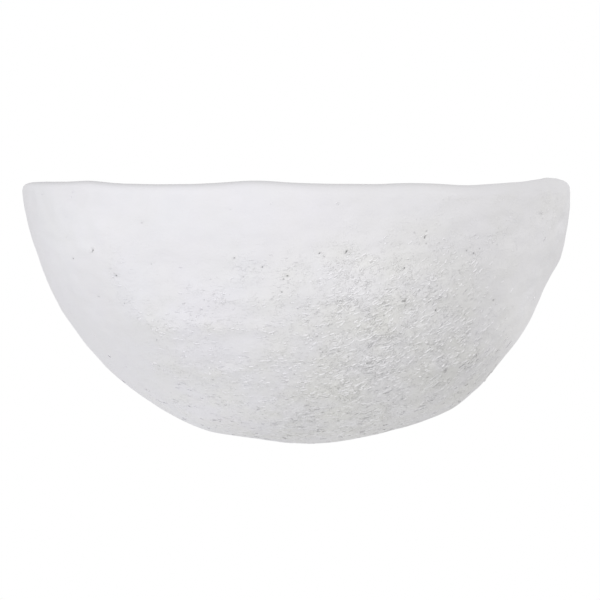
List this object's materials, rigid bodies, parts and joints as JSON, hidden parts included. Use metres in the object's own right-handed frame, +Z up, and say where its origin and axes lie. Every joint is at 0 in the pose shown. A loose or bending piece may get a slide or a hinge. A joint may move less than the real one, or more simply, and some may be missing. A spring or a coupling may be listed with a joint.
{
  "type": "uplighter wall sconce",
  "caption": "Wall light with a hand-formed white pulp half bowl, open at the top, that lifts off a steel wall plate carrying an upright screw lampholder and lamp.",
  "frame": {"origin": "on the wall, midway between the two fixing slots of the wall plate", "axes": "+Z up, +Y into the wall, +X to the right of someone facing the light"},
  "size_m": [0.3992, 0.18, 0.1941],
  "materials": {
    "pulp": "matt, rough hand-formed pulp",
    "zinc_steel": "bright zinc plate",
    "white_plate": "satin white powder coat",
    "screw_steel": "bright zinc plate",
    "brass": "plain brass",
    "spring_bronze": "plain bronze strip",
    "nickel": "nickel plate",
    "black_rubber": "matt",
    "white_nylon": "milky nylon",
    "holder_plastic": "moulded, glossy white",
    "porcelain": "glazed porcelain",
    "brown_sleeve": "brown insulation",
    "blue_sleeve": "blue insulation",
    "earth_sleeve": "green insulation with a yellow stripe",
    "black_glass": "black glass-like insulator",
    "lamp_plastic": "satin white",
    "opal": "opal diffuser",
    "board_white": "white solder mask",
    "phosphor": "yellow phosphor",
    "board_green": "green solder mask"
  },
  "bodies": {
    "wall_side": {"wall_plate": "white_plate", "cable_grommet": "black_rubber", "lamp_arm": "zinc_steel", "arm_screws": "screw_steel", "arm_nuts": "screw_steel", "terminal_block": "white_nylon", "terminal_tubes": "brass", "terminal_screws": "screw_steel", "block_screw": "screw_steel", "block_nut": "screw_steel", "earth_tag": "spring_bronze", "earth_screw": "brass", "earth_nut": "brass", "live_wire": "brown_sleeve", "neutral_wire": "blue_sleeve", "earth_wire": "earth_sleeve", "wire_tie": "white_nylon", "nipple": "brass", "nipple_washer": "screw_steel", "nipple_nut": "brass", "holder_cap": "holder_plastic", "grub_screw": "screw_steel", "holder_insert": "porcelain", "holder_terminals": "brass", "holder_screws": "screw_steel", "centre_contact": "spring_bronze", "screw_shell": "nickel", "holder_skirt": "holder_plastic"},
    "shade": {"shade_bowl": "pulp", "hanger_strap": "zinc_steel", "strap_screws": "screw_steel", "strap_washers": "screw_steel"},
    "lamp_tip": {"lamp_contact": "screw_steel", "lamp_insulator": "black_glass"},
    "lamp": {"lamp_cap": "nickel", "lamp_housing": "lamp_plastic", "lamp_globe": "opal", "led_board": "board_white", "led_chips": "phosphor", "driver_board": "board_green"}
  },
  "joints": [
    {"name": "shade_lift", "type": "slide", "parent": "wall_side", "child": "shade", "axis": [0, 0, 1], "range_m": [0, 0.0105]},
    {"name": "lamp_rise", "type": "slide", "parent": "wall_side", "child": "lamp_tip", "axis": [0, 0, 1], "range_m": [0, 0.01452]},
    {"name": "lamp_turn", "type": "hinge", "parent": "lamp_tip", "child": "lamp", "pos_m": [0, -0.075, -0.01], "axis": [0, 0, 1], "range_deg": [0, 1440]}
  ],
  "couplings": [
    {"joint": "lamp_rise", "follows": "lamp_turn", "m_per_rad": 0.00057757}
  ]
}
